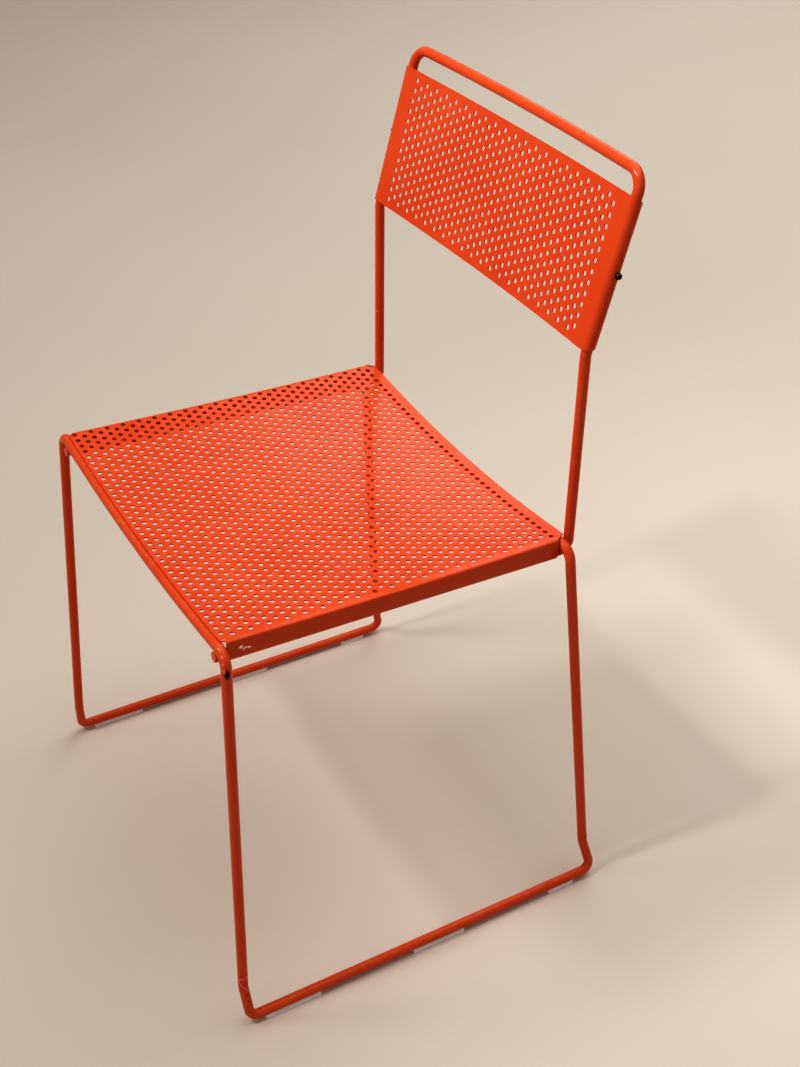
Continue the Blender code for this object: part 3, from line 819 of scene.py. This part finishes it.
class CHAIR_OT_glides(bpy.types.Operator):
    """Clip the plastic glides under the floor rails"""
    bl_idname = "chair.glides"
    bl_label = "Glides"

    def execute(self, context):
        shape = Shape(context.scene.chair_sizes)
        nylon = natural_nylon("moulded natural nylon", context.scene.chair_colours.glide)
        bore = shape.r + shape.gap
        rim = radians(GLIDE_RIM_DEG)
        inside = [(bore * cos(a), shape.floor_rail_z + bore * sin(a))
                  for a in np.linspace(-rim, rim - pi, CHANNEL_POINTS)]
        lip = ((bore + GLIDE_WALL) * cos(rim), shape.floor_rail_z - (bore + GLIDE_WALL) * sin(rim))

        def section(inset):
            """Outline across the rail: the channel round it, then the sole below."""
            half = GLIDE_HALF - inset
            top, lift = min(lip[0], half), min(inset, GLIDE_ENDS[0][1])
            channel = [(max(-half, min(half, x)), z) for x, z in inside]
            return channel + [(-top, lip[1]), (-half, GLIDE_EDGE), (-half, lift + GLIDE_BEVEL),
                              (GLIDE_BEVEL - half, lift), (half - GLIDE_BEVEL, lift),
                              (half, lift + GLIDE_BEVEL), (half, GLIDE_EDGE), (top, lip[1])]

        for hand, side in (("right", 1), ("left", -1)):
            for place, y, length in GLIDES:
                # how far along, and how far the outline lies inside the full width there
                stations = [(-length / 2 + run, inset) for run, inset in GLIDE_ENDS]
                if place == "back":
                    # the rear glide ends in a half round nose
                    stations += [(length / 2 - GLIDE_HALF * (1 - sin(t)), GLIDE_HALF * (1 - cos(t)))
                                 for t in np.radians(GLIDE_NOSE_DEG)]
                else:
                    stations += [(length / 2 - run, inset) for run, inset in reversed(GLIDE_ENDS)]
                bm = bmesh.new()
                rings = [[bm.verts.new((side * FOOT_X + x, y + dy, z)) for x, z in section(inset)]
                         for dy, inset in stations]
                skin(bm, rings)
                bm.faces.new(reversed(rings[0]))
                bm.faces.new(rings[-1])
                piece(f"nylon_{place}_{hand}", bm, nylon, [f"glide_{place}_{hand}"],
                      sharp=30)
        return {"FINISHED"}


class CHAIR_OT_bumpers(bpy.types.Operator):
    """Set the round black studs on the outer sides of the back"""
    bl_idname = "chair.bumpers"
    bl_label = "Bumpers"

    def execute(self, context):
        shape = Shape(context.scene.chair_sizes)
        black = black_polyamide("polished black polyamide", context.scene.chair_colours.bumper)
        along, ahead = shape.upright_axis()
        radius = shape.bumper / 2
        seat = shape.r + shape.gap + shape.sheet + shape.gap
        for hand, side in (("right", 1), ("left", -1)):
            a = radians(BUMPER_DEG)
            out = (Vector((side * cos(a), 0, 0)) - ahead * sin(a)).normalized()
            base = shape.kink(side) + along * BUMPER_H + out * seat
            turn = Vector((0, 0, 1)).rotation_difference(out).to_matrix()
            profile = [(radius * share, height) for share, height in STUD_FOOT]
            for t in np.linspace(radians(STUD_START_DEG), radians(90), BALL_POINTS):
                profile.append((radius * cos(t), radius * STUD_CENTRE + radius * sin(t)))
            bm = bmesh.new()
            rings = []
            for r, h in profile[:-1]:
                rings.append([bm.verts.new(base + turn @ Vector((r * cos(b), r * sin(b), h)))
                              for b in np.linspace(0, 2 * pi, STUD_SIDES, endpoint=False)])
            skin(bm, rings)
            bm.faces.new(reversed(rings[0]))
            pointed(bm, rings[-1], base + turn @ Vector((0, 0, profile[-1][1])))
            piece(f"stud_{hand}", bm, black, [f"bumper_{hand}"], sharp=40)
        return {"FINISHED"}


class CHAIR_OT_stage(bpy.types.Operator):
    """Set the floor, the lights and the camera"""
    bl_idname = "chair.stage"
    bl_label = "Stage"

    def execute(self, context):
        scene = context.scene
        lights = scene.chair_lights
        mesh = bpy.data.meshes.new("floor")
        corners = [(x * FLOOR_HALF, y * FLOOR_HALF, 0)
                   for x, y in ((-1, -1), (1, -1), (1, 1), (-1, 1))]
        mesh.from_pydata(corners, [], [(0, 1, 2, 3)])
        floor = bpy.data.objects.new("floor", mesh)
        scene.collection.objects.link(floor)
        mesh.materials.append(matt_floor("rolled matt floor paint", scene.chair_colours.floor))
        for name, kind, at, aim, size in LAMPS:
            lamp = bpy.data.lights.new(name, kind)
            lamp.energy = getattr(lights, name)
            if kind == "SPOT":
                lamp.shadow_soft_size = size
                lamp.spot_size = radians(SPOT_DEG)
                lamp.spot_blend = 1.0
            else:
                lamp.size = size
            obj = bpy.data.objects.new(name, lamp)
            obj.location = at
            obj.rotation_euler = (Vector(aim) - Vector(at)).to_track_quat("-Z", "Y").to_euler()
            scene.collection.objects.link(obj)
        world = bpy.data.worlds.new("studio")
        world.use_nodes = True
        sky = world.node_tree.nodes["Background"]
        sky.inputs["Color"].default_value = SKY_WHITE
        sky.inputs["Strength"].default_value = lights.sky
        scene.world = world
        scene.view_settings.view_transform = "Standard"
        scene.view_settings.look = "Very High Contrast"
        az, el, roll = radians(CAMERA_AZ), radians(CAMERA_EL), radians(CAMERA_ROLL)
        back = Vector((sin(az) * cos(el), -cos(az) * cos(el), sin(el)))
        right = Vector((cos(az), sin(az), 0))
        up = back.cross(right)
        turned = (cos(roll) * right + sin(roll) * up, cos(roll) * up - sin(roll) * right, back)
        camera = bpy.data.objects.new("camera", bpy.data.cameras.new("camera"))
        camera.data.lens = CAMERA_FOCAL
        camera.data.sensor_width = CAMERA_SENSOR
        camera.matrix_world = Matrix.Translation(CAMERA_AT) @ Matrix(turned).transposed().to_4x4()
        scene.collection.objects.link(camera)
        scene.camera = camera
        return {"FINISHED"}


OPERATORS = (CHAIR_OT_stage, CHAIR_OT_leg_frame, CHAIR_OT_back_frame, CHAIR_OT_seat, CHAIR_OT_back,
             CHAIR_OT_welds, CHAIR_OT_glides, CHAIR_OT_bumpers)


class CHAIR_PT_sidebar(bpy.types.Panel):
    """Sizes, colours and pieces of the chair"""
    bl_idname = "CHAIR_PT_sidebar"
    bl_label = "Steel rod chair"
    bl_space_type = "VIEW_3D"
    bl_region_type = "UI"
    bl_category = "Chair"

    def draw(self, context):
        scene = context.scene
        for group in (scene.chair_sizes, scene.chair_colours, scene.chair_lights):
            box = self.layout.box()
            for name in group.__annotations__:
                box.prop(group, name)
        for operator in OPERATORS:
            self.layout.operator(operator.bl_idname)


CLASSES = (ChairSizes, ChairColours, ChairLights, *OPERATORS, CHAIR_PT_sidebar)


def register():
    """Make the properties, operators and the panel known to Blender."""
    for item in CLASSES:
        bpy.utils.register_class(item)
    bpy.types.Scene.chair_sizes = PointerProperty(type=ChairSizes)
    bpy.types.Scene.chair_colours = PointerProperty(type=ChairColours)
    bpy.types.Scene.chair_lights = PointerProperty(type=ChairLights)


def unregister():
    """Take them out again."""
    del bpy.types.Scene.chair_lights
    del bpy.types.Scene.chair_colours
    del bpy.types.Scene.chair_sizes
    for item in reversed(CLASSES):
        bpy.utils.unregister_class(item)


def main():
    """Build the chair on its stage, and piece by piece."""
    register()
    for step in (bpy.ops.chair.stage, bpy.ops.chair.leg_frame, bpy.ops.chair.back_frame,
                 bpy.ops.chair.seat, bpy.ops.chair.back, bpy.ops.chair.welds, bpy.ops.chair.glides,
                 bpy.ops.chair.bumpers):
        step()


if __name__ == "__main__":
    main()
